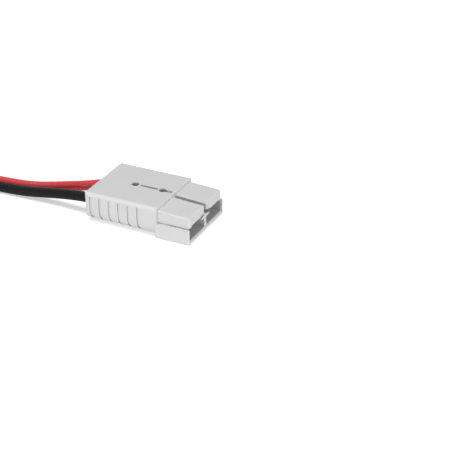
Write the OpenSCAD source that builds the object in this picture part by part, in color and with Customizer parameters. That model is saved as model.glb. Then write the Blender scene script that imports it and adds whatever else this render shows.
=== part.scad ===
// Two-pole genderless power connector with its two crimped leads.
// Frame: +X towards the mating end, +Y towards the positive (red) lead, +Z up, the flat face on top.
// The origin is the middle of the housing's footprint, on the surface that it rests on.

/* [Housing] */
// Length of the housing, cable end to mating end
housing_len = 65.3; // [64:0.1:68]
// Length of the grip body, from the cable end to the front wall
body_len = 45.4; // [44.6:0.1:46]
// Width of the grip body
body_w = 42; // [41.4:0.1:42.6]
// Thickness of the housing
housing_h = 18.2; // [18:0.1:18.8]
// Wall of the cable entries
wall = 1.8; // [1.4:0.1:2]

/* [Barrels under the body] */
// Distance of each barrel's crest from the middle
crest_y = 10.4; // [10:0.1:10.8]
// Radius of the valley side of a barrel
valley_r = 13.3; // [12.5:0.1:14]
// Radius of the outer side of a barrel
shoulder_r = 8; // [7:0.1:9]

/* [Side grips] */
// Number of grooves on each side
groove_count = 6; // [4:1:6]
// Distance from the cable end to the first groove
groove_start = 3.7; // [3:0.1:5]
// Distance between grooves
groove_pitch = 6; // [5.5:0.1:6.2]
// Width of a groove
groove_w = 1.2; // [0.8:0.1:1.6]
// Depth of a groove
groove_depth = 0.5; // [0.3:0.05:0.6]

/* [Mating end] */
// Outer width of the lower shell
shell_w = 42.8; // [42.4:0.1:43.4]
// Height of the lower shell
shell_h = 8.9; // [8.6:0.1:9]
// Side wall of the shell
shell_wall = 1.8; // [1.6:0.1:2]
// Floor of the shell
shell_floor = 2.1; // [1.8:0.1:2.4]
// Thickness of the divider between the sockets
divider_t = 2.4; // [2:0.1:2.6]
// Width of the flange on top of the divider
flange_w = 9.2; // [8:0.1:9.4]
// Thickness of that flange
flange_t = 1.4; // [1.2:0.1:1.6]
// Height of the lip across the front of each upper tongue
lip_z = 10.3; // [10:0.1:10.6]
// Step down from the flat face to the tops of the tongues
tongue_step = 1.7; // [1.4:0.1:2]
// Slope of the tongues, from the body to their front
tongue_fall = 1; // [0.6:0.1:1.2]
// Distance from the middle to the outer side of a tongue
tongue_out_y = 19.4; // [19:0.1:19.4]
// Gap between the two tongues
tongue_gap = 3; // [2.8:0.1:3.4]
// How far the tongues stop short of the shell
tongue_back = 0.4; // [0.2:0.1:0.8]

/* [Mounting holes] */
// Diameter of the two mounting holes
hole_d = 4.5; // [4:0.1:4.6]
// Distance between the mounting holes
hole_pitch = 17.2; // [16.4:0.1:17.4]
// Position of the front mounting hole along the housing
front_hole_x = 5.6; // [5:0.1:6]
// Diameter of the boss round each hole
boss_d = 8; // [7:0.1:8.5]

/* [Contacts] */
// Distance of the contacts from the middle
contact_y = 10.6; // [10.55:0.05:10.7]
// Width of a contact's blade
blade_w = 11; // [10.4:0.1:11]
// Thickness of a contact's blade
blade_t = 1.8; // [1.6:0.1:1.8]
// Outer diameter of the crimp barrel
crimp_d = 8; // [7.4:0.1:8.4]
// Thickness of the retention spring
spring_t = 0.5; // [0.4:0.05:0.5]
// Width of the retention spring
spring_w = 9.4; // [8:0.1:10]

/* [Leads] */
// Diameter of a lead over its insulation
lead_d = 6; // [5.6:0.1:6]
// Diameter of the copper strands
strand_d = 4; // [3.8:0.1:4.2]
// Sides of a lead's tube
lead_sides = 12; // [8:1:12]

/* [Hidden] */
$fn = 64;
eps = 0.01;

rear_x = -housing_len / 2;
front_x = housing_len / 2;
wall_x = rear_x + body_len;             // front wall of the grip body
half_h = housing_h / 2;                 // mating plane, shared with the mate
body_half = body_w / 2;
shoulder_y = body_half - shoulder_r;    // centre of a barrel's outer round
edge_r = 1.9;                           // round along the sides of the flat face
end_r = 1;                              // round across its cable end
corner_r = 1.6;                         // round of the cable end's upright edges
entry_x = rear_x + 17.5;                // floor of the wide cable entry
stop_x = -3;                            // shoulder that stops the crimp barrel
bore_d = 12.4;                          // bore round the crimp barrel
crimp_z = half_h + 0.5;                 // axis of the crimp barrel

shell_half = shell_w / 2;
shell_x = wall_x - 0.8;                 // the shell starts just behind the front wall
shell_edge_r = 1.2;
shell_corner_r = 1;
lead_in = 2;                            // length of the bevel under the shell's lip
lead_in_t = 0.35;
tongue_x = front_x - tongue_back;
tongue_top = housing_h - tongue_step;
tongue_front = tongue_top - tongue_fall;
tongue_edge_r = 0.8;
tongue_nose = 1;                        // bevel across a tongue's leading edge
rail_z = half_h + 0.1;                  // underside of a tongue's rails
lip_x = tongue_x - 1.3;                 // back of the lip in front of the contact's nose
channel_w = blade_w + 0.6;              // channel for blade and spring
channel_top = half_h + blade_t + 0.8;
nose_top = 13;                          // roof over the hooked nose of a contact
nose_x = 26.4;

rear_hole_x = front_hole_x - hole_pitch;
slot_x = [rear_hole_x + 4, front_hole_x - 3.6];
slot_w = 1.6;
slot_depth = 6;
key_len = 6;                            // shallow pocket in front of the front hole
key_w = 2.6;
key_depth = 1.2;
mark_x = -9.8;                          // polarity marks on the barrels
mark_d = 6;
mark_line = 0.5;
mark_depth = 0.3;

blade_tip_x = 28;
hook_r = 2.4;                           // outer radius of the hooked nose
hook_rise = 1.2;                        // straight end of the hook above its bend
crimp_x = -20.5;                        // mouth of the crimp barrel
neck_x = -7.5;                          // where the crimp barrel starts to flatten
neck_r = 2.7;                           // half size of the neck there
crimp_zone = [-16.5, -10.5];
crimp_flats = 7.2;
strip_x = crimp_x - 2;                  // end of the insulation inside the entry
strand_in_x = -8.5;
spring_x = [-1, 27.2];
spring_rise = 0.3;

lead_r = lead_d / 2;
hank_x = -145;                          // where both leads enter the folded hank
hank_r = 18.2;                          // middle of the inner lead's fold
black_r = hank_r + lead_d;              // the black lead folds round the red one
// Routes of the leads, from the stripped end in the housing to the start of the hank
red_route = [
    [strip_x, contact_y, crimp_z], [-28, 10.5, 9.6], [-34, 9.3, 9.2], [-42, 6.7, 7.8],
    [-50, 4.4, 6.5], [-58, 2.6, 5.3], [-66, 0.5, 4.2], [-74, -1.7, 3.4], [-82, -3.6, 3.1],
    [-91, -4.8, lead_r], [-100, -5.6, lead_r], [-109, -6.9, lead_r], [-118, -10, lead_r],
    [-127, -14.2, lead_r], [-136, -17.2, lead_r], [hank_x, -hank_r, lead_r]
];
black_route = [
    [strip_x, -contact_y, crimp_z], [-28, -10.8, 9.6], [-34, -11, 9.4], [-42, -10.9, 8.9],
    [-50, -10.6, 7.9], [-58, -10.3, 6.6], [-66, -10.3, 5.3], [-74, -10.7, 4.2], [-82, -11, 3.4],
    [-91, -11.3, lead_r], [-100, -11.8, lead_r], [-109, -13.4, lead_r], [-118, -16.9, lead_r],
    [-127, -20.9, lead_r], [-136, -23.5, lead_r], [hank_x, -black_r, lead_r]
];
fold_x = -187;                          // centre of the hank's fold
red_end_x = -120;                       // where the insulation ends
black_end_x = -138;
tinned_len = 10;                        // tinned strands past the insulation

// Extrudes a Y-Z outline along X
module along_x(x0, x1) {
    translate([x0, 0, 0]) rotate([90, 0, 90]) linear_extrude(x1 - x0) children();
}

// Extrudes an X-Z outline across Y, centred on y = 0
module across_y(w) {
    translate([0, w / 2, 0]) rotate([90, 0, 0]) linear_extrude(w) children();
}

module both_sides() {
    children();
    mirror([0, 1, 0]) children();
}

// Y-Z outline of one half of the body, from y0 outwards, drawn t inside the outer skin
module half_outline(t, y0) {
    top = housing_h - t;
    r = max(edge_r - t, 0.3);
    side = body_half - t;
    translate([y0, shoulder_r]) square([side - y0, top - r - shoulder_r]);
    translate([y0, top - r - eps]) square([side - r - y0, r + eps]);
    intersection() {
        translate([side - r, top - r]) circle(r);
        translate([side - r, top - r]) square(r);
    }
    intersection() {
        translate([shoulder_y, shoulder_r]) circle(shoulder_r - t);
        translate([shoulder_y, t]) square([shoulder_r - t, shoulder_r - t]);
    }
    translate([crest_y, t]) square([shoulder_y - crest_y, shoulder_r - t]);
    intersection() {
        translate([crest_y, valley_r]) circle(valley_r - t);
        translate([y0, t]) square([crest_y - y0, shoulder_r - t]);
    }
}

// Flat face above, two parallel barrels below
module body_outline(t) {
    half_outline(t, 0);
    mirror([1, 0]) half_outline(t, 0);
}

module grip_body() {
    intersection() {
        along_x(rear_x, wall_x) body_outline(0);
        // round upright edges at the cable end
        linear_extrude(housing_h) union() {
            translate([rear_x + corner_r, -body_half]) square([body_len, body_w]);
            translate([rear_x, -body_half + corner_r]) square([corner_r + eps, body_w - 2 * corner_r]);
            both_corners() circle(corner_r);
        }
        // round edges at both ends of the flat face
        across_y(body_w + 2) union() {
            translate([rear_x, -1]) square([body_len, housing_h + 1 - end_r]);
            translate([rear_x + end_r, 0]) square([body_len - 1.5 * end_r, housing_h]);
            translate([rear_x + end_r, housing_h - end_r]) circle(end_r);
            translate([wall_x - end_r / 2, housing_h - end_r / 2]) circle(end_r / 2);
            translate([wall_x - end_r, 0]) square([end_r, housing_h - end_r / 2]);
        }
    }
}

// X-Y outline with its two front corners rounded
module rounded_front(x0, x1, half_w, r) {
    translate([x0, -half_w]) square([x1 - r - x0, 2 * half_w]);
    translate([x0, -half_w + r]) square([x1 - x0, 2 * (half_w - r)]);
    for (s = [-1, 1]) translate([x1 - r, s * (half_w - r)]) circle(r);
}

module both_corners() {
    for (s = [-1, 1]) translate([rear_x + corner_r, s * (body_half - corner_r)]) children();
}

// Grooves that leave the raised grip panels, faded out below the shoulders
module grip_grooves() {
    for (i = [0 : groove_count - 1])
        along_x(rear_x + groove_start + i * groove_pitch - groove_w / 2,
                rear_x + groove_start + i * groove_pitch + groove_w / 2)
            difference() {
                translate([-body_half - 1, -1]) square([body_w + 2, housing_h - 1.4]);
                body_outline(groove_depth);
                translate([-shoulder_y - 2, -2]) square([2 * shoulder_y + 4, housing_h + 3]);
            }
}

// Lower shell, open at the front and above, with its T-shaped divider
module mating_shell() {
    difference() {
        intersection() {
            along_x(shell_x, front_x) union() {
                translate([-shell_half, shell_edge_r]) square([shell_w, shell_h - shell_edge_r]);
                translate([-shell_half + shell_edge_r, 0]) square([shell_w - 2 * shell_edge_r, shell_h]);
                for (s = [-1, 1])
                    translate([s * (shell_half - shell_edge_r), shell_edge_r]) circle(shell_edge_r);
            }
            linear_extrude(shell_h) rounded_front(shell_x, front_x, shell_half, shell_corner_r);
            across_y(shell_w + 2) polygon([
                [shell_x, 0], [front_x - lead_in, 0], [front_x - 0.4, lead_in_t], [front_x, lead_in_t + 0.4],
                [front_x, shell_h], [shell_x, shell_h]
            ]);
        }
        both_sides() along_x(wall_x, front_x + 1) socket_outline();
        // lead-in round the mouth
        across_y(shell_w - 2 * shell_wall + 1.2) polygon([
            [front_x + eps, shell_floor - 0.6], [front_x + eps, shell_h + 1],
            [front_x - 0.6, shell_h + 1], [front_x - 0.6, shell_floor]
        ]);
    }
    along_x(wall_x - 1, front_x - 0.6) divider_outline();
}

module socket_outline() {
    translate([divider_t / 2, shell_floor])
        square([shell_half - shell_wall - divider_t / 2, shell_h]);
}

module divider_outline() {
    translate([-divider_t / 2, shell_floor - 1]) square([divider_t, shell_h - shell_floor + 1]);
    translate([-flange_w / 2, shell_h - flange_t]) square([flange_w, flange_t]);
}

// Upper tongue of one pole, which enters the mate's socket
module mating_tongue() {
    y0 = tongue_gap / 2;
    w = tongue_out_y - y0;
    r = tongue_edge_r;
    channel_y = contact_y - channel_w / 2;
    difference() {
        intersection() {
            along_x(wall_x - 1, tongue_x) translate([y0, rail_z]) square([w, tongue_top - rail_z]);
            linear_extrude(housing_h)
                translate([0, y0 + w / 2]) rounded_front(wall_x - 1, tongue_x, w / 2, r);
            across_y(2 * tongue_out_y) polygon([
                [wall_x - 1, rail_z], [tongue_x - 0.5, rail_z], [tongue_x, rail_z + 0.5],
                [tongue_x, tongue_front - tongue_nose], [tongue_x - 0.3, tongue_front - 0.3],
                [tongue_x - tongue_nose, tongue_front], [wall_x - 1, tongue_top]
            ]);
        }
        // rebate that clears the flange of the mate's divider
        translate([wall_x, 0, rail_z - 1])
            cube([housing_len, flange_w / 2 + 0.3, flange_t + 1.7]);
        // channel for the blade and its spring, deeper behind the lip for the hooked nose
        translate([wall_x - 2, channel_y, rail_z - 1])
            cube([lip_x - wall_x + 2, channel_w, channel_top - rail_z + 1]);
        translate([nose_x, channel_y, rail_z - 1])
            cube([lip_x - nose_x, channel_w, nose_top - rail_z + 1]);
        translate([nose_x, channel_y, rail_z - 1])
            cube([housing_len, channel_w, lip_z - rail_z + 1]);
        // rounds along the upper edges, which run down with the slope
        translate([0, y0, 0]) tongue_edge(r);
        translate([0, tongue_out_y, 0]) mirror([0, 1, 0]) tongue_edge(r);
    }
}

// Waste outside the round of a tongue's upper edge, along the side at y = 0
module tongue_edge(r) {
    slope = atan2(tongue_fall, tongue_x - wall_x);
    translate([wall_x, 0, tongue_top]) rotate([0, slope, 0]) along_x(-0.9, housing_len) difference() {
        translate([-1, -r]) square([1 + r, 1 + r]);
        translate([r, -r]) circle(r);
    }
}

module mounting_boss(x) {
    translate([x, 0, 0]) cylinder(d = boss_d, h = half_h);
}

// Cable entry, crimp barrel bore and blade slot of one pole
module pole_cavity() {
    along_x(rear_x - 1, entry_x) half_outline(wall, wall / 2 + 0.2);
    translate([entry_x - 1, contact_y, crimp_z])
        rotate([0, 90, 0]) cylinder(d = bore_d, h = stop_x - entry_x + 1);
    translate([stop_x - 1, contact_y - channel_w / 2, half_h])
        cube([wall_x - stop_x + 2, channel_w, channel_top - half_h]);
}

// Ring with a bar, or a cross for the positive side, cut into the barrel's crest
module polarity_mark(plus) {
    translate([mark_x, 0, -1]) {
        difference() {
            cylinder(d = mark_d, h = 1 + mark_depth);
            translate([0, 0, -1]) cylinder(d = mark_d - 2 * mark_line, h = 3);
        }
        translate([-mark_line / 2, -mark_d / 4, 0]) cube([mark_line, mark_d / 2, 1 + mark_depth]);
        if (plus)
            translate([-mark_d / 4, -mark_line / 2, 0]) cube([mark_d / 2, mark_line, 1 + mark_depth]);
    }
}

module housing() {
    color("gainsboro") difference() {
        union() {
            difference() {
                grip_body();
                grip_grooves();
            }
            mating_shell();
            both_sides() mating_tongue();
            mounting_boss(rear_hole_x);
            mounting_boss(front_hole_x);
        }
        both_sides() pole_cavity();
        for (x = [rear_hole_x, front_hole_x])
            translate([x, 0, -1]) cylinder(d = hole_d, h = housing_h + 2);
        translate([0, 0, housing_h - slot_depth]) linear_extrude(slot_depth + 1) {
            translate([slot_x[0], -slot_w / 2]) square([slot_x[1] - slot_x[0], slot_w]);
            for (x = slot_x) translate([x, 0]) circle(d = slot_w);
        }
        translate([front_hole_x, -key_w / 2, housing_h - key_depth])
            cube([key_len, key_w, key_depth + 1]);
        translate([0, crest_y, 0]) polarity_mark(true);
        translate([0, -crest_y, 0]) polarity_mark(false);
    }
}

// Points of an arc about c, from angle a0 to a1
function arc(c, r, a0, a1) =
    [for (i = [0 : 8]) let (a = a0 + (a1 - a0) * i / 8) c + r * [cos(a), sin(a)]];

// Silver-plated copper: crimp barrel, flattened neck, blade and hooked nose
module contact() {
    color("silver") {
        difference() {
            translate([crimp_x, 0, crimp_z]) rotate([0, 90, 0])
                cylinder(d = crimp_d, h = neck_x - crimp_x);
            translate([crimp_x - 1, 0, crimp_z]) rotate([0, 90, 0])
                cylinder(d = strand_d, h = strand_in_x - crimp_x + 1);
            // six flats pressed by the crimping die
            translate([crimp_zone[0], 0, crimp_z]) rotate([0, 90, 0]) difference() {
                cylinder(d = crimp_d + 2, h = crimp_zone[1] - crimp_zone[0]);
                translate([0, 0, -1]) cylinder(r = crimp_flats / sqrt(3), h = 20, $fn = 6);
            }
        }
        intersection() {
            across_y(blade_w) contact_profile();
            linear_extrude(housing_h) contact_plan();
        }
    }
}

// Side view of neck, blade and nose
module contact_profile() {
    nose = [blade_tip_x, half_h + hook_r];
    polygon(concat(
        [[neck_x - 0.5, crimp_z - neck_r], [neck_x, crimp_z - neck_r], [stop_x, half_h]],
        arc(nose, hook_r, -90, 0),
        [nose + [hook_r, hook_rise], nose + [hook_r - blade_t, hook_rise]],
        arc(nose, hook_r - blade_t, 0, -90),
        [[stop_x, half_h + blade_t], [neck_x, crimp_z + neck_r], [neck_x - 0.5, crimp_z + neck_r]]
    ));
}

module contact_plan() {
    polygon([
        [neck_x - 0.5, -neck_r], [neck_x, -neck_r], [stop_x, -blade_w / 2],
        [blade_tip_x + hook_r, -blade_w / 2], [blade_tip_x + hook_r, blade_w / 2],
        [stop_x, blade_w / 2], [neck_x, neck_r], [neck_x - 0.5, neck_r]
    ]);
}

// Leaf spring behind the blade, bowed between the blade and the roof of its channel
module retention_spring() {
    mid = (spring_x[0] + spring_x[1]) / 2;
    span = (spring_x[1] - spring_x[0]) / 2;
    base = half_h + blade_t;
    steps = [for (i = [-8 : 8]) i / 8];
    color("lightsteelblue") across_y(spring_w) polygon(concat(
        [for (u = steps) [mid + span * u, base + spring_rise * (1 - u * u)]],
        [for (u = steps) [mid - span * u, base + spring_t + spring_rise * (1 - u * u)]]
    ));
}

// Copper strands between the insulation and the bottom of the crimp barrel
module strands() {
    color("peru") translate([strip_x, 0, crimp_z]) rotate([0, 90, 0])
        cylinder(d = strand_d, h = strand_in_x - strip_x);
}

// Ring of a lead's tube about point p, square to direction d
function ring(p, d, r) =
    let (side = [d[1], -d[0], 0] / norm([d[0], d[1]]), up = cross(side, d))
    [for (k = [0 : lead_sides - 1])
        p + r * (cos(360 * k / lead_sides) * side + sin(360 * k / lead_sides) * up)];

function unit(v) = v / norm(v);

// Direction of a route at point i; both ends run straight along X
function heading(route, i) =
    i == 0 || i == len(route) - 1 ? [-1, 0, 0] : unit(route[i + 1] - route[i - 1]);

module lead_tube(route) {
    n = lead_sides;
    last = len(route) - 1;
    points = [for (i = [0 : last]) each ring(route[i], heading(route, i), lead_r)];
    sides = [for (i = [0 : last - 1], k = [0 : n - 1])
        [i * n + k, i * n + (k + 1) % n, (i + 1) * n + (k + 1) % n, (i + 1) * n + k]];
    ends = [[for (k = [n - 1 : -1 : 0]) k], [for (k = [0 : n - 1]) last * n + k]];
    polyhedron(points, concat(sides, ends));
}

// U-shaped band that a folded lead fills, lying flat; the lead enters at hank_x on the -Y side
module hank(r, end_x) {
    outer = r + lead_r;
    inner = r - lead_r;
    linear_extrude(lead_d) difference() {
        union() {
            translate([fold_x, 0]) circle(outer);
            translate([fold_x, -outer]) square([hank_x - fold_x, outer]);
            translate([fold_x, 0]) square([end_x - fold_x, outer]);
        }
        translate([fold_x, 0]) circle(inner);
        translate([fold_x, -inner]) square([end_x - fold_x + 1, 2 * inner]);
    }
}

module tinned_end(x, y) {
    color("silver") translate([x, y, lead_r]) rotate([0, 90, 0]) cylinder(d = strand_d, h = tinned_len);
}

housing();
translate([0, contact_y, 0]) contact();  // contact_positive
translate([0, -contact_y, 0]) contact();  // contact_negative
translate([0, contact_y, 0]) retention_spring();  // spring_positive
translate([0, -contact_y, 0]) retention_spring();  // spring_negative
translate([0, contact_y, 0]) strands();  // strands_positive
translate([0, -contact_y, 0]) strands();  // strands_negative
color("crimson") lead_tube(red_route);  // lead_red
color("black") lead_tube(black_route);  // lead_black
color("crimson") hank(hank_r, red_end_x);  // hank_red
color("black") hank(black_r, black_end_x);  // hank_black
tinned_end(red_end_x, hank_r);  // tinned_end_red
tinned_end(black_end_x, black_r);  // tinned_end_black
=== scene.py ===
import math
import random

import bmesh
import bpy
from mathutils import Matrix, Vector


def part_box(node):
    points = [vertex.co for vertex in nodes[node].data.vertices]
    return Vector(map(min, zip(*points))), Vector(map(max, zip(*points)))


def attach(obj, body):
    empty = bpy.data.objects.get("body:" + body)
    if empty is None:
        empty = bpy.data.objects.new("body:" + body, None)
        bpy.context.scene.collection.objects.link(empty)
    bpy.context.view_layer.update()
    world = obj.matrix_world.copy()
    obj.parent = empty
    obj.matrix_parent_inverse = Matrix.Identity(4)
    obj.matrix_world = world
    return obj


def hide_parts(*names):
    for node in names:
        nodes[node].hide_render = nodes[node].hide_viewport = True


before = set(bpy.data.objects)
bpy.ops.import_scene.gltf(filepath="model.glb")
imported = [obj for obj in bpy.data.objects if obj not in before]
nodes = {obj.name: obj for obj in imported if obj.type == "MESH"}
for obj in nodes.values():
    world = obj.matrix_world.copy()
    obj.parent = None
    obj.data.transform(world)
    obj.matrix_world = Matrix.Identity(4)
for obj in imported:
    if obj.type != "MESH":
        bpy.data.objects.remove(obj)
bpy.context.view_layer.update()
scene = bpy.context.scene
mm = 0.001


def meshObject(name, verts, faces, smooth=True):
    mesh = bpy.data.meshes.new(name)
    mesh.from_pydata([tuple(v) for v in verts], [], faces)
    mesh.update()
    piece = bpy.data.objects.new(name, mesh)
    scene.collection.objects.link(piece)
    mesh.polygons.foreach_set("use_smooth", [smooth] * len(mesh.polygons))
    return piece


def paint(piece, material):
    piece.data.materials.clear()
    piece.data.materials.append(material)


cameraView = {
    "location": (315.2, -562.8, 352.7),
    "aim": (40.0, 8.6, 0.0),
    "lens": 104.0,
    "sensor": 36.0,
}


def addCamera():
    camera = bpy.data.objects.new("camera", bpy.data.cameras.new("camera"))
    scene.collection.objects.link(camera)
    location = Vector(cameraView["location"]) * mm
    camera.location = location
    toAim = Vector(cameraView["aim"]) * mm - location
    camera.rotation_euler = toAim.to_track_quat("-Z", "Y").to_euler()
    camera.data.lens = cameraView["lens"]
    camera.data.sensor_width = cameraView["sensor"]
    camera.data.clip_start = 0.01
    scene.camera = camera


addCamera()
print("camera placed")


# both leads run from the stripped end in the housing to a folded hank behind it
leadForm = {
    "radius": 3.0 * mm,
    "core": 2.0 * mm,  # radius of the wires inside
    "sides": 36,
    "step": 0.9 * mm,
    "chamfer": 0.25 * mm,
    "recess": 1.5 * mm,  # how far the wires' hole goes into each cut end
    "straight": (6 * mm, 9 * mm),  # straight run-ins that steer the route's two ends
    "legSteps": (12, 24),
    "foldSteps": 40,
    "sharpAngle": 50,
    "hankX": -145 * mm,
    "foldX": -187 * mm,
    "tieX": -165 * mm,
    "tieLift": 0.5 * mm,
    "liftReach": 9 * mm,
}

redLead = {
    "name": "redLead",
    "nodes": ("lead_red", "hank_red"),
    "route": [
        (-22.5, 10.6, 9.6), (-28, 10.5, 9.6), (-34, 9.3, 9.2), (-42, 6.7, 7.8),
        (-50, 4.4, 6.5), (-58, 2.6, 5.3), (-66, 0.5, 4.2), (-74, -1.7, 3.4), (-82, -3.6, 3.1),
        (-91, -4.8, 3), (-100, -5.6, 3), (-109, -6.9, 3), (-118, -10, 3),
        (-127, -14.2, 3), (-136, -17.2, 3), (-145, -18.2, 3),
    ],
    "foldRadius": 18.2 * mm,
    "endX": -132 * mm,
    "length": 0.2812,
    "slot": "red_insulation",
}

blackLead = {
    "name": "blackLead",
    "nodes": ("lead_black", "hank_black"),
    "route": [
        (-22.5, -10.6, 9.6), (-28, -10.8, 9.6), (-34, -11, 9.4), (-42, -10.9, 8.9),
        (-50, -10.6, 7.9), (-58, -10.3, 6.6), (-66, -10.3, 5.3), (-74, -10.7, 4.2), (-82, -11, 3.4),
        (-91, -11.3, 3), (-100, -11.8, 3), (-109, -13.4, 3), (-118, -16.9, 3),
        (-127, -20.9, 3), (-136, -23.5, 3), (-145, -24.2, 3),
    ],
    "foldRadius": 24.2 * mm,
    "endX": -138 * mm,
    "length": 0.2921,
    "slot": "black_insulation",
}


# Catmull-Rom curve through the route's points
def smoothRoute(points, perSpan=8):
    before, after = leadForm["straight"]
    pts = [Vector(p) * mm for p in points]
    pts = [pts[0] + Vector((before, 0, 0))] + pts + [pts[-1] - Vector((after, 0, 0))]
    line = []
    for i in range(1, len(pts) - 2):
        a, b, c, d = pts[i - 1:i + 3]
        for k in range(perSpan):
            t = k / perSpan
            line.append(0.5 * (2 * b + (c - a) * t + (2 * a - 5 * b + 4 * c - d) * t * t
                               + (3 * b - a - 3 * c + d) * t ** 3))
    return line + [pts[-2]]


# route, outward leg, fold and return leg; the leads rise a little over their strap
def leadLine(lead):
    r, z = lead["foldRadius"], leadForm["radius"]
    hankX, foldX, endX = leadForm["hankX"], leadForm["foldX"], lead["endX"]
    out, back = leadForm["legSteps"]
    turns = leadForm["foldSteps"]
    line = smoothRoute(lead["route"])
    line += [Vector((hankX + (foldX - hankX) * k / out, -r, z)) for k in range(1, out)]
    line += [Vector((foldX - r * math.sin(a), -r * math.cos(a), z))
             for a in (math.pi * k / turns for k in range(turns + 1))]
    line += [Vector((foldX + (endX - foldX) * k / back, r, z)) for k in range(1, back + 1)]
    for p in line:
        p.z += leadForm["tieLift"] * math.exp(-((p.x - leadForm["tieX"]) / leadForm["liftReach"]) ** 2)
    return line


# the same line with evenly spaced points
def evenly(line, step):
    marks = [0.0]
    for a, b in zip(line, line[1:]):
        marks.append(marks[-1] + (b - a).length)
    count = round(marks[-1] / step)
    out, i = [], 0
    for k in range(count + 1):
        s = marks[-1] * k / count
        while i < len(line) - 2 and marks[i + 1] < s:
            i += 1
        t = (s - marks[i]) / (marks[i + 1] - marks[i])
        out.append(line[i].lerp(line[i + 1], t))
    return out


# direction, side and up at each point, turned no more than the line bends
def frames(line):
    side = Vector((0, 0, 1)).cross(line[1] - line[0]).normalized()
    out = []
    for i in range(len(line)):
        ahead = (line[min(i + 1, len(line) - 1)] - line[max(i - 1, 0)]).normalized()
        side = (side - ahead * side.dot(ahead)).normalized()
        out.append((ahead, side, ahead.cross(side)))
    return out


def sweep(name, rings, sides):
    verts, faces = [], []
    for centre, side, up, radius in rings:
        for k in range(sides):
            a = 2 * math.pi * k / sides
            verts.append(centre + radius * (math.cos(a) * side + math.sin(a) * up))
    for i in range(len(rings) - 1):
        for k in range(sides):
            k2 = (k + 1) % sides
            faces.append((i * sides + k, i * sides + k2, (i + 1) * sides + k2, (i + 1) * sides + k))
    last = (len(rings) - 1) * sides
    faces.append(tuple(reversed(range(sides))))
    faces.append(tuple(last + k for k in range(sides)))
    return meshObject(name, verts, faces)


def buildLead(lead):
    line = evenly(leadLine(lead), leadForm["step"])
    axes = frames(line)
    radius, core = leadForm["radius"], leadForm["core"]
    chamfer, recess = leadForm["chamfer"], leadForm["recess"]
    (d0, s0, u0), (d1, s1, u1) = axes[0], axes[-1]
    start, end = line[0], line[-1]
    rings = [(start + d0 * recess, s0, u0, core), (start, s0, u0, core),
             (start, s0, u0, radius - chamfer), (start + d0 * chamfer, s0, u0, radius)]
    rings += [(p, s, u, radius) for p, (d, s, u) in zip(line[1:-1], axes[1:-1])]
    rings += [(end - d1 * chamfer, s1, u1, radius), (end, s1, u1, radius - chamfer),
              (end, s1, u1, core), (end - d1 * recess, s1, u1, core)]
    piece = sweep(lead["name"], rings, leadForm["sides"])
    piece.data.set_sharp_from_angle(angle=math.radians(leadForm["sharpAngle"]))
    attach(piece, "root")
    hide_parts(*lead["nodes"])
    return piece, line


redPiece, redLine = buildLead(redLead)
blackPiece, blackLine = buildLead(blackLead)
print("leads swept")


# fine wires, twisted in layers round one core wire
strandForm = {"layers": 3, "lay": 42 * mm, "sides": 8, "step": 0.8 * mm, "sharpAngle": 60}


def buildStrands(name, node):
    low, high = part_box(node)
    bundle = (high.y - low.y) / 2
    centre = (low + high) / 2
    thin = bundle / (2 * strandForm["layers"] + 1)
    count = max(2, round((high.x - low.x) / strandForm["step"]))
    verts, faces = [], []
    sides = strandForm["sides"]
    for layer in range(strandForm["layers"] + 1):
        wires = max(1, 6 * layer)
        for n in range(wires):
            first = len(verts)
            for i in range(count + 1):
                x = low.x + (high.x - low.x) * i / count
                a = 2 * math.pi * (n / wires + (x - low.x) / strandForm["lay"])
                y = centre.y + 2 * thin * layer * math.cos(a)
                z = centre.z + 2 * thin * layer * math.sin(a)
                for k in range(sides):
                    b = 2 * math.pi * k / sides
                    verts.append((x, y + thin * math.cos(b), z + thin * math.sin(b)))
            for i in range(count):
                for k in range(sides):
                    k2 = (k + 1) % sides
                    a0, b0 = first + i * sides, first + (i + 1) * sides
                    faces.append((a0 + k, b0 + k, b0 + k2, a0 + k2))
            faces.append(tuple(first + k for k in range(sides)))
            faces.append(tuple(first + count * sides + k for k in reversed(range(sides))))
    piece = meshObject(name, verts, faces)
    piece.data.set_sharp_from_angle(angle=math.radians(strandForm["sharpAngle"]))
    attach(piece, "root")
    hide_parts(node)
    return piece


positiveStrands = buildStrands("positiveStrands", "strands_positive")
negativeStrands = buildStrands("negativeStrands", "strands_negative")


# tinned ends: the twisted wires still show as shallow flutes under the solder
tinForm = {
    "lobes": 18,
    "depth": 0.16 * mm,
    "solderFill": (0.15, 1.0),  # how open each flute is left
    "lay": 30 * mm,
    "sides": 180,
    "rings": 44,
    "tip": 0.5 * mm,
    "tipTaper": 0.12,
    "sharpAngle": 60,
}


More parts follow.
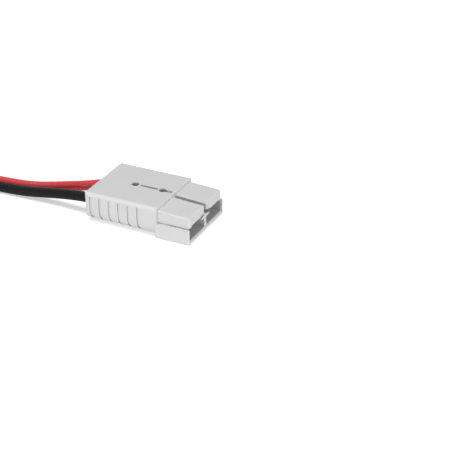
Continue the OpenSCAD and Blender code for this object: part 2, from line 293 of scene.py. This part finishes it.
def buildTinnedEnd(name, node, lead):
    low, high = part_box(node)
    centre = (low + high) / 2
    radius = (high.y - low.y) / 2
    tipX = lead["endX"] + high.x - low.x
    draw = random.Random(len(node))
    fill = [draw.uniform(*tinForm["solderFill"]) for k in range(tinForm["lobes"])]
    verts, faces = [], []
    sides, rings = tinForm["sides"], tinForm["rings"]
    start = lead["endX"] - leadForm["recess"]
    for i in range(rings + 1):
        x = start + (tipX - start) * i / rings
        fromTip = (tipX - x) / tinForm["tip"]
        taper = 1 - tinForm["tipTaper"] * (1 - min(fromTip, 1.0)) ** 2
        for k in range(sides):
            a = 2 * math.pi * k / sides
            turn = (a / (2 * math.pi) + (x - start) / tinForm["lay"]) * tinForm["lobes"]
            valley = abs(math.sin(math.pi * turn))
            deep = fill[int(turn) % tinForm["lobes"]] * (0.7 + 0.3 * math.sin(x / mm * 1.3 + int(turn)))
            r = (radius - tinForm["depth"] * deep * (1 - valley) ** 1.5) * taper
            verts.append((x, centre.y + r * math.cos(a), centre.z + r * math.sin(a)))
    for i in range(rings):
        for k in range(sides):
            k2 = (k + 1) % sides
            faces.append((i * sides + k, (i + 1) * sides + k, (i + 1) * sides + k2, i * sides + k2))
    faces.append(tuple(range(sides)))
    faces.append(tuple(rings * sides + k for k in reversed(range(sides))))
    piece = meshObject(name, verts, faces)
    piece.data.set_sharp_from_angle(angle=math.radians(tinForm["sharpAngle"]))
    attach(piece, "root")
    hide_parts(node)
    return piece


redTin = buildTinnedEnd("redTinnedEnd", "tinned_end_red", redLead)
blackTin = buildTinnedEnd("blackTinnedEnd", "tinned_end_black", blackLead)


# strap round the four legs of the hank
tieForm = {
    "width": 8 * mm,
    "thickness": 0.45 * mm,
    "overlap": 22 * mm,
    "tailSteps": 12,
    "arcPoints": 16,
    "edge": 0.1 * mm,
    "sharpAngle": 40,
}


def tieOutline():
    half = blackLead["foldRadius"]
    z = leadForm["radius"] + leadForm["tieLift"]
    r = leadForm["radius"]
    points = []
    for side in (1, -1):
        for k in range(tieForm["arcPoints"] + 1):
            a = math.pi * k / tieForm["arcPoints"] - math.pi / 2
            points.append(Vector((side * (half + r * math.cos(a)), z + side * r * math.sin(a))))
    return points


def strapBand(points, closed, x0, x1, thickness, verts, faces):
    count = len(points)
    first = len(verts)
    e = tieForm["edge"]
    for i, p in enumerate(points):
        before = points[i - 1] if closed or i else p
        after = points[(i + 1) % count] if closed or i < count - 1 else p
        along = (after - before).normalized()
        out = Vector((along.y, -along.x))
        for x, t in ((x0, e), (x0 + e, 0), (x1 - e, 0), (x1, e), (x1, thickness - e),
                     (x1 - e, thickness), (x0 + e, thickness), (x0, thickness - e)):
            q = p + out * t
            verts.append((x, q.x, q.y))
    spans = count if closed else count - 1
    for i in range(spans):
        a, b = first + i * 8, first + (i + 1) % count * 8
        for k in range(8):
            k2 = (k + 1) % 8
            faces.append((a + k, a + k2, b + k2, b + k))
    if not closed:
        faces.append(tuple(first + k for k in reversed(range(8))))
        faces.append(tuple(first + (count - 1) * 8 + k for k in range(8)))


def buildTie():
    x0 = leadForm["tieX"] - tieForm["width"] / 2
    x1 = leadForm["tieX"] + tieForm["width"] / 2
    verts, faces = [], []
    strapBand(tieOutline(), True, x0, x1, tieForm["thickness"], verts, faces)
    top = leadForm["radius"] * 2 + leadForm["tieLift"] + tieForm["thickness"]
    steps = tieForm["tailSteps"]
    tail = [Vector((tieForm["overlap"] * (0.5 - k / steps), top)) for k in range(steps + 1)]
    strapBand(tail, False, x0, x1, tieForm["thickness"], verts, faces)
    piece = meshObject("hankTie", verts, faces)
    bm = bmesh.new()
    bm.from_mesh(piece.data)
    bmesh.ops.recalc_face_normals(bm, faces=bm.faces)
    bm.to_mesh(piece.data)
    bm.free()
    piece.data.set_sharp_from_angle(angle=math.radians(tieForm["sharpAngle"]))
    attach(piece, "root")
    return piece


hankTie = buildTie()
print("strands, tinned ends and tie built")


def newGroup(name, inputs, outputs):
    group = bpy.data.node_groups.new(name, "ShaderNodeTree")
    for label, kind, value in inputs:
        socket = group.interface.new_socket(name=label, in_out="INPUT", socket_type="NodeSocket" + kind)
        socket.default_value = value
    for label, kind in outputs:
        group.interface.new_socket(name=label, in_out="OUTPUT", socket_type="NodeSocket" + kind)
    return group, group.nodes.new("NodeGroupInput"), group.nodes.new("NodeGroupOutput")


def addNode(tree, kind, **settings):
    node = tree.nodes.new("ShaderNode" + kind)
    for key, value in settings.items():
        setattr(node, key, value)
    return node


def mathNode(tree, operation, a, b=None, clamp=False):
    node = addNode(tree, "Math", operation=operation, use_clamp=clamp)
    for socket, value in zip(node.inputs, (a, b)):
        if value is None:
            continue
        if isinstance(value, (int, float)):
            socket.default_value = value
        else:
            tree.links.new(value, socket)
    return node.outputs[0]


def noiseOf(tree, coords, scale, detail=3.0, roughness=0.55):
    noise = addNode(tree, "TexNoise")
    noise.inputs["Detail"].default_value = detail
    noise.inputs["Roughness"].default_value = roughness
    if isinstance(scale, (int, float)):
        noise.inputs["Scale"].default_value = scale
    else:
        tree.links.new(scale, noise.inputs["Scale"])
    tree.links.new(coords, noise.inputs["Vector"])
    return noise.outputs["Fac"]


# fine grain of a spark-eroded mould, with a broad soft unevenness
def makeGrainGroup():
    group, gin, gout = newGroup(
        "mouldGrain",
        [("Coords", "Vector", (0, 0, 0)), ("Grain Scale", "Float", 4500.0),
         ("Broad Scale", "Float", 60.0), ("Broad Share", "Float", 0.4)],
        [("Height", "Float"), ("Mottle", "Float")])
    coords = gin.outputs["Coords"]
    fine = noiseOf(group, coords, gin.outputs["Grain Scale"], 2.0)
    broad = noiseOf(group, coords, gin.outputs["Broad Scale"], 2.0)
    share = mathNode(group, "MULTIPLY", broad, gin.outputs["Broad Share"])
    height = mathNode(group, "ADD", fine, share)
    group.links.new(height, gout.inputs["Height"])
    group.links.new(broad, gout.inputs["Mottle"])
    return group


# patchy painted shade on edges and in creases, from the gap between the true and the rounded normal
def makeEdgeGroup():
    group, gin, gout = newGroup(
        "paintedEdgeShade",
        [("Rounded Normal", "Vector", (0, 0, 1)), ("Coords", "Vector", (0, 0, 0)),
         ("Patch Scale", "Float", 300.0)],
        [("Mask", "Float")])
    geometry = addNode(group, "NewGeometry")
    dot = addNode(group, "VectorMath", operation="DOT_PRODUCT")
    group.links.new(gin.outputs["Rounded Normal"], dot.inputs[0])
    group.links.new(geometry.outputs["Normal"], dot.inputs[1])
    gap = mathNode(group, "SUBTRACT", 1.0, dot.outputs["Value"], clamp=True)
    edge = mathNode(group, "MULTIPLY", gap, 9.0, clamp=True)
    patch = noiseOf(group, gin.outputs["Coords"], gin.outputs["Patch Scale"], 3.0)
    patch = mathNode(group, "SUBTRACT", patch, 0.3, clamp=True)
    patch = mathNode(group, "MULTIPLY", patch, 2.5, clamp=True)
    group.links.new(mathNode(group, "MULTIPLY", edge, patch, clamp=True), gout.inputs["Mask"])
    return group


# hairline scuffs and finger marks that vary the gloss
def makeScuffGroup():
    group, gin, gout = newGroup(
        "scuffs",
        [("Coords", "Vector", (0, 0, 0)), ("Scale", "Float", 90.0), ("Stretch", "Vector", (1, 14, 14)),
         ("Base Roughness", "Float", 0.4), ("Spread", "Float", 0.1)],
        [("Roughness", "Float"), ("Mask", "Float")])
    stretch = addNode(group, "VectorMath", operation="MULTIPLY")
    group.links.new(gin.outputs["Coords"], stretch.inputs[0])
    group.links.new(gin.outputs["Stretch"], stretch.inputs[1])
    lines = noiseOf(group, stretch.outputs["Vector"], gin.outputs["Scale"], 5.0, 0.65)
    smudge = noiseOf(group, gin.outputs["Coords"], gin.outputs["Scale"], 2.0)
    mask = mathNode(group, "ADD", mathNode(group, "MULTIPLY", lines, 0.6),
                    mathNode(group, "MULTIPLY", smudge, 0.4))
    spread = mathNode(group, "MULTIPLY", mathNode(group, "SUBTRACT", mask, 0.5), gin.outputs["Spread"])
    spread = mathNode(group, "MULTIPLY", spread, 2.0)
    rough = mathNode(group, "ADD", gin.outputs["Base Roughness"], spread, clamp=True)
    group.links.new(rough, gout.inputs["Roughness"])
    group.links.new(mask, gout.inputs["Mask"])
    return group


grainGroup = makeGrainGroup()
edgeGroup = makeEdgeGroup()
scuffGroup = makeScuffGroup()


def startMaterial(name, constants):
    material = bpy.data.materials.new(name)
    material.use_nodes = True
    tree = material.node_tree
    shader = tree.nodes["Principled BSDF"]
    for socket, value in constants.items():
        shader.inputs[socket].default_value = value
    coords = addNode(tree, "TexCoord").outputs["Object"]
    return material, tree, shader, coords


def placeGroup(tree, group, values, links):
    node = addNode(tree, "Group")
    node.node_tree = group
    for label, value in values.items():
        node.inputs[label].default_value = value
    for label, socket in links.items():
        tree.links.new(socket, node.inputs[label])
    return node


def addBump(tree, shader, height, strength, distance, normal=None):
    bump = addNode(tree, "Bump")
    bump.inputs["Strength"].default_value = strength
    bump.inputs["Distance"].default_value = distance
    tree.links.new(height, bump.inputs["Height"])
    if normal is not None:
        tree.links.new(normal, bump.inputs["Normal"])
    tree.links.new(bump.outputs["Normal"], shader.inputs["Normal"])


def mixColour(tree, mask, colourA, colourB):
    mix = addNode(tree, "Mix", data_type="RGBA")
    tree.links.new(mask, mix.inputs["Factor"])
    for socket, value in ((mix.inputs["A"], colourA), (mix.inputs["B"], colourB)):
        if isinstance(value, tuple):
            socket.default_value = (*value, 1)
        else:
            tree.links.new(value, socket)
    return mix.outputs["Result"]


def bevelNormal(tree, radius, samples):
    bevel = addNode(tree, "Bevel", samples=samples)
    bevel.inputs["Radius"].default_value = radius
    return bevel.outputs["Normal"]


def placeScuffs(tree, coords, scale, roughness, spread, stretch):
    values = {"Scale": scale, "Base Roughness": roughness, "Spread": spread, "Stretch": stretch}
    return placeGroup(tree, scuffGroup, values, {"Coords": coords})


housingFinish = {
    "low": (0.56, 0.56, 0.562),
    "high": (0.6, 0.6, 0.602),
    # painted shade: this darker grey is mixed in, in patches, on edges and in creases
    "edgeShadeColour": (0.52, 0.52, 0.52),
    "specular": 0.3,
    "roughness": 0.6,
    "spread": 0.08,
    "edgeRadius": 0.35 * mm,
    "edgePatch": 260.0,
    "edgeShadeShare": 0.5,
    "grainScale": 5200.0,
    "mottleScale": 45.0,
    "mottleShare": 0.5,
    "scuffScale": 70.0,
    "scuffStretch": (1, 9, 9),
    "grainStrength": 0.12,
    "grainDepth": 0.06 * mm,
}


def makeHousingMaterial():
    look = housingFinish
    constants = {"Specular IOR Level": look["specular"]}
    material, tree, shader, coords = startMaterial("mouldedGrey", constants)
    rounded = bevelNormal(tree, look["edgeRadius"], 6)
    grain = placeGroup(tree, grainGroup, {
        "Grain Scale": look["grainScale"],
        "Broad Scale": look["mottleScale"],
        "Broad Share": look["mottleShare"],
    }, {"Coords": coords})
    edge = placeGroup(tree, edgeGroup, {"Patch Scale": look["edgePatch"]},
                      {"Rounded Normal": rounded, "Coords": coords})
    scuff = placeScuffs(tree, coords, look["scuffScale"], look["roughness"], look["spread"],
                        look["scuffStretch"])
    body = mixColour(tree, grain.outputs["Mottle"], look["low"], look["high"])
    # painted shade: darkens edges and creases in patches
    edgeShadeMix = mathNode(tree, "MULTIPLY", edge.outputs["Mask"], look["edgeShadeShare"])
    tree.links.new(mixColour(tree, edgeShadeMix, body, look["edgeShadeColour"]), shader.inputs["Base Color"])
    tree.links.new(scuff.outputs["Roughness"], shader.inputs["Roughness"])
    addBump(tree, shader, grain.outputs["Height"], look["grainStrength"], look["grainDepth"], rounded)
    return material


metalFinishes = {
    "silverPlate": {
        "dark": (0.62, 0.6, 0.55), "pale": (0.88, 0.87, 0.84), "roughness": 0.3, "spread": 0.12,
        "stretch": (1, 22, 22), "scale": 120.0, "edge": 0.2 * mm,
    },
    "springSteel": {
        "dark": (0.45, 0.46, 0.47), "pale": (0.66, 0.67, 0.68), "roughness": 0.32, "spread": 0.14,
        "stretch": (1, 30, 30), "scale": 140.0, "edge": 0.1 * mm,
    },
    "copperStrand": {
        "dark": (0.55, 0.24, 0.12), "pale": (0.86, 0.47, 0.29), "roughness": 0.34, "spread": 0.12,
        "stretch": (1, 12, 12), "scale": 200.0, "edge": 0.05 * mm,
    },
    "tinnedStrand": {
        "dark": (0.5, 0.5, 0.49), "pale": (0.78, 0.78, 0.76), "roughness": 0.38, "spread": 0.16,
        "stretch": (1, 6, 6), "scale": 260.0, "edge": 0.05 * mm,
    },
}
metalBump = {"strength": 0.15, "depth": 0.05 * mm}


def makeMetal(name):
    look = metalFinishes[name]
    material, tree, shader, coords = startMaterial(name, {"Metallic": 1.0})
    rounded = bevelNormal(tree, look["edge"], 4)
    scuff = placeScuffs(tree, coords, look["scale"], look["roughness"], look["spread"], look["stretch"])
    tone = mixColour(tree, scuff.outputs["Mask"], look["dark"], look["pale"])
    tree.links.new(tone, shader.inputs["Base Color"])
    tree.links.new(scuff.outputs["Roughness"], shader.inputs["Roughness"])
    addBump(tree, shader, scuff.outputs["Mask"], metalBump["strength"], metalBump["depth"], rounded)
    return material


insulationFinishes = {
    "redInsulation": {
        "low": (0.52, 0.008, 0.014), "high": (0.62, 0.011, 0.02), "roughness": 0.26,
        "specular": 0.5, "coat": 0.15,
    },
    "blackInsulation": {
        "low": (0.003, 0.003, 0.003), "high": (0.006, 0.006, 0.0065), "roughness": 0.42,
        "specular": 0.12, "coat": 0.0,
    },
}
insulationSkin = {
    "coatRoughness": 0.12,
    "grainScale": 1400.0,
    "waveScale": 120.0,
    "waveShare": 1.6,
    "scuffScale": 110.0,
    "scuffSpread": 0.08,
    "scuffStretch": (1, 8, 8),
    "bumpStrength": 0.12,
    "bumpDepth": 0.12 * mm,
}


def makeInsulation(name):
    look, skin = insulationFinishes[name], insulationSkin
    material, tree, shader, coords = startMaterial(name, {
        "Specular IOR Level": look["specular"],
        "Coat Weight": look["coat"],
        "Coat Roughness": skin["coatRoughness"],
    })
    grain = placeGroup(tree, grainGroup, {
        "Grain Scale": skin["grainScale"],
        "Broad Scale": skin["waveScale"],
        "Broad Share": skin["waveShare"],
    }, {"Coords": coords})
    scuff = placeScuffs(tree, coords, skin["scuffScale"], look["roughness"], skin["scuffSpread"],
                        skin["scuffStretch"])
    tone = mixColour(tree, grain.outputs["Mottle"], look["low"], look["high"])
    tree.links.new(tone, shader.inputs["Base Color"])
    tree.links.new(scuff.outputs["Roughness"], shader.inputs["Roughness"])
    addBump(tree, shader, grain.outputs["Height"], skin["bumpStrength"], skin["bumpDepth"])
    return material


tieFinish = {
    "low": (0.012, 0.012, 0.014),
    "high": (0.04, 0.04, 0.044),
    "sheen": 0.3,
    "sheenRoughness": 0.5,
    "weave": 900.0,
    "unevenness": 1.5,
    "roughness": 0.8,
    "spread": 0.1,
    "scuffScale": 400.0,
    "scuffStretch": (4, 1, 1),
    "bumpStrength": 0.4,
    "bumpDepth": 0.1 * mm,
}


def makeTieMaterial():
    look = tieFinish
    material, tree, shader, coords = startMaterial("wovenTie", {
        "Sheen Weight": look["sheen"],
        "Sheen Roughness": look["sheenRoughness"],
    })
    wave = addNode(tree, "TexWave", wave_type="BANDS", bands_direction="DIAGONAL")
    wave.inputs["Scale"].default_value = look["weave"]
    wave.inputs["Distortion"].default_value = look["unevenness"]
    tree.links.new(coords, wave.inputs["Vector"])
    scuff = placeScuffs(tree, coords, look["scuffScale"], look["roughness"], look["spread"],
                        look["scuffStretch"])
    tone = mixColour(tree, wave.outputs["Fac"], look["low"], look["high"])
    tree.links.new(tone, shader.inputs["Base Color"])
    tree.links.new(scuff.outputs["Roughness"], shader.inputs["Roughness"])
    addBump(tree, shader, wave.outputs["Fac"], look["bumpStrength"], look["bumpDepth"])
    return material


housingMaterial = makeHousingMaterial()
metals = {name: makeMetal(name) for name in metalFinishes}
insulations = {name: makeInsulation(name) for name in insulationFinishes}

paint(nodes["housing"], housingMaterial)
for pole in ("positive", "negative"):
    paint(nodes["contact_" + pole], metals["silverPlate"])
    paint(nodes["spring_" + pole], metals["springSteel"])
for piece in (positiveStrands, negativeStrands):
    paint(piece, metals["copperStrand"])
for piece in (redTin, blackTin):
    paint(piece, metals["tinnedStrand"])
paint(redPiece, insulations["redInsulation"])
paint(blackPiece, insulations["blackInsulation"])
paint(hankTie, makeTieMaterial())
print("materials assigned")


stageLook = {
    "floorHalf": 3.0,
    "floorDrop": 0.05 * mm,
    "floorColour": 0.8,
    "floorLift": 0.45,  # glow that only the camera and reflections see
    "worldLight": 0.25,
}


# 1 for rays that show the background, 0 for those that light the part
def seenRay(tree):
    rays = addNode(tree, "LightPath")
    seen = mathNode(tree, "MAXIMUM", rays.outputs["Is Camera Ray"], rays.outputs["Is Glossy Ray"])
    return mathNode(tree, "MAXIMUM", seen, rays.outputs["Is Transmission Ray"])


def buildFloor():
    s = stageLook["floorHalf"]
    corners = [(-s, -s, 0), (s, -s, 0), (s, s, 0), (-s, s, 0)]
    floor = meshObject("floor", corners, [(0, 1, 2, 3)], smooth=False)
    floor.location.z = -stageLook["floorDrop"]
    material = bpy.data.materials.new("whiteFloor")
    material.use_nodes = True
    tree = material.node_tree
    tree.nodes.remove(tree.nodes["Principled BSDF"])
    out = tree.nodes["Material Output"]
    diffuse = addNode(tree, "BsdfDiffuse")
    grey = stageLook["floorColour"]
    diffuse.inputs["Color"].default_value = (grey, grey, grey, 1)
    glow = addNode(tree, "Emission")
    lift = mathNode(tree, "MULTIPLY", seenRay(tree), stageLook["floorLift"])
    tree.links.new(lift, glow.inputs["Strength"])
    both = addNode(tree, "AddShader")
    tree.links.new(diffuse.outputs[0], both.inputs[0])
    tree.links.new(glow.outputs[0], both.inputs[1])
    tree.links.new(both.outputs[0], out.inputs["Surface"])
    paint(floor, material)


def buildWorld():
    world = bpy.data.worlds.new("softRoom")
    scene.world = world
    world.use_nodes = True
    tree = world.node_tree
    background = tree.nodes["Background"]
    background.inputs["Color"].default_value = (1, 1, 1, 1)
    seen = seenRay(tree)
    lit = mathNode(tree, "MULTIPLY", mathNode(tree, "SUBTRACT", 1.0, seen), stageLook["worldLight"])
    tree.links.new(mathNode(tree, "ADD", seen, lit), background.inputs["Strength"])


lampLooks = {
    "top": {"place": (-0.1, -0.1, 1.0), "aim": (0, 0, 0), "size": 0.5, "power": 7.0},
    "side": {"place": (-0.1, -1.0, 0.14), "aim": (0, 0, 0.01), "size": 0.3, "power": 5.4},
    "front": {"place": (1.0, -0.1, 0.14), "aim": (0, 0, 0.01), "size": 0.3, "power": 5.4},
}


def buildLamps():
    for name, look in lampLooks.items():
        data = bpy.data.lights.new(name, "AREA")
        data.shape = "SQUARE"
        data.size = look["size"]
        data.energy = look["power"]
        lamp = bpy.data.objects.new(name, data)
        scene.collection.objects.link(lamp)
        lamp.location = look["place"]
        lamp.rotation_euler = (Vector(look["aim"]) - lamp.location).to_track_quat("-Z", "Y").to_euler()


buildFloor()
buildWorld()
buildLamps()
scene.view_settings.view_transform = "Standard"
print("stage lit")
